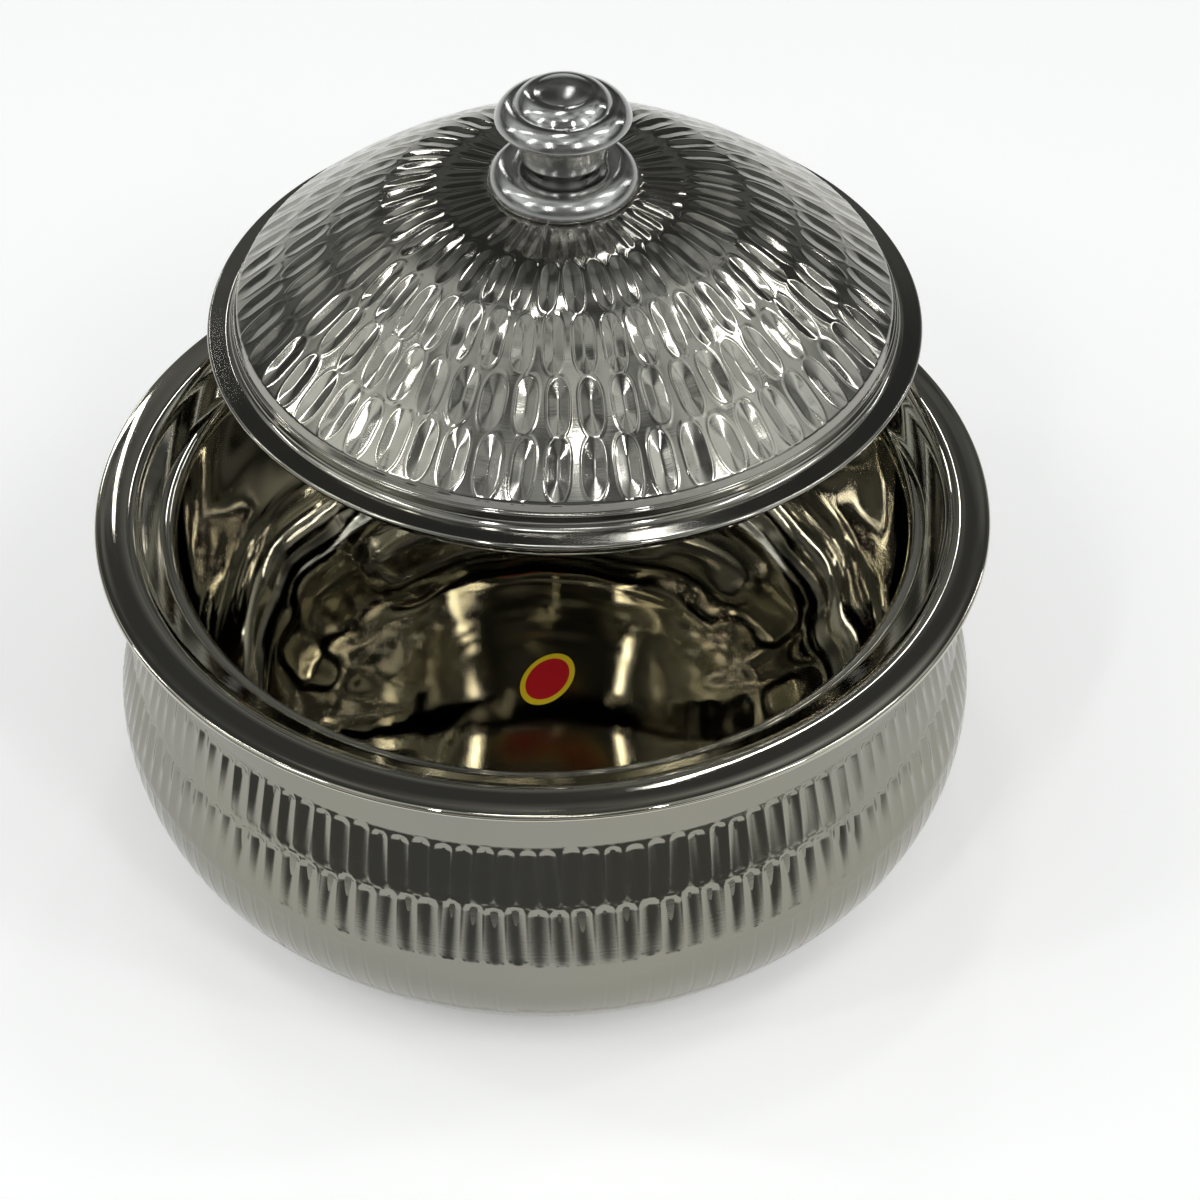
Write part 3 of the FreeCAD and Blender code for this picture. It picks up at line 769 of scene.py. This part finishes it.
# Uneven patches, as a room's walls and shelves have, so that polished steel shows more than
# a blur.
patches = noise(sky, direction, 4.2, 3.0, 0.55)
uneven = ramp(sky, patches, [(0.40, 0.12), (0.50, 0.85), (0.53, 0.95), (0.62, 1.0)])
patched = number(sky, "MULTIPLY", sky_level, uneven)
room = number(sky, "MULTIPLY_ADD", patched, GLOW_STRENGTH, ROOM_LEVEL)
# A pale backdrop all round, just above the floor's edge.
backdrop = smooth(sky, axes(sky, direction)["Z"], *BACKDROP_EDGE, BACKDROP_LEVEL, 0.0)
tinted = node(sky, "ShaderNodeVectorMath", operation="SCALE")
tinted.inputs[0].default_value = ROOM_TINT
sky.links.new(number(sky, "ADD", room, backdrop), tinted.inputs["Scale"])
shade = node(sky, "ShaderNodeBackground", Strength=1.0)
sky.links.new(tinted.outputs["Vector"], shade.inputs["Color"])
out = node(sky, "ShaderNodeOutputWorld")
sky.links.new(shade.outputs[0], out.inputs["Surface"])

LAMP_TARGET = (0.0, 0.05, 0.10)
LAMP_DISTANCE = 1.5


def lamp(name, elevation, heading, size, radiance, turn):
    """A rectangular lamp aimed at the casserole, with its brightness per area."""
    data = bpy.data.lights.new(name, "AREA")
    data.shape = "RECTANGLE"
    data.size, data.size_y = size
    data.energy = radiance * math.pi * size[0] * size[1]
    made = bpy.data.objects.new(name, data)
    towards = unit_vector(elevation, heading)
    made.location = [t + LAMP_DISTANCE * d for t, d in zip(LAMP_TARGET, towards)]
    up, round_ = math.radians(elevation), math.radians(heading)
    aim = mathutils.Euler((math.pi / 2 - up, 0.0, round_ + math.pi / 2)).to_matrix()
    made.rotation_euler = (aim @ mathutils.Matrix.Rotation(math.radians(turn), 3, "Z")).to_euler()
    bpy.context.scene.collection.objects.link(made)


for lamp_name, elevation, heading, size, radiance, turn in (
    ("key", 62, -82, (0.20, 0.03), 24.0, 8),
    ("front_left", 42, -150, (0.06, 0.55), 14.0, 0),
    ("left_low", 30, 168, (0.03, 0.50), 18.0, 0),
    ("left_high", 56, 172, (0.05, 0.40), 14.0, 6),
    ("right_high", 52, 8, (0.06, 0.50), 14.0, -5),
    ("right_low", 26, 30, (0.03, 0.50), 16.0, 0),
    ("front_right", 38, -32, (0.06, 0.55), 14.0, 0),
    ("back_right", 50, 82, (0.025, 0.50), 18.0, 0),
    ("back_left", 30, 118, (0.03, 0.50), 16.0, 0),
    ("front_near_left", 46, -116, (0.03, 0.45), 50.0, 12),
    ("front_near_right", 44, -62, (0.03, 0.45), 50.0, -10),
    ("top", 84, 120, (0.26, 0.08), 18.0, 20),
):
    lamp(lamp_name, elevation, heading, size, radiance, turn)

# The camera that was solved from the photograph's ellipses.
camera_data = bpy.data.cameras.new("camera")
camera_data.lens = 96.0
camera_data.sensor_width = 36.0
camera = bpy.data.objects.new("camera", camera_data)
camera.location = (0.0179, -0.7625, 0.7711)
camera.rotation_euler = (math.radians(47.47), 0.0, 0.0)
bpy.context.scene.collection.objects.link(camera)
bpy.context.scene.camera = camera
bpy.context.scene.view_settings.view_transform = "Standard"
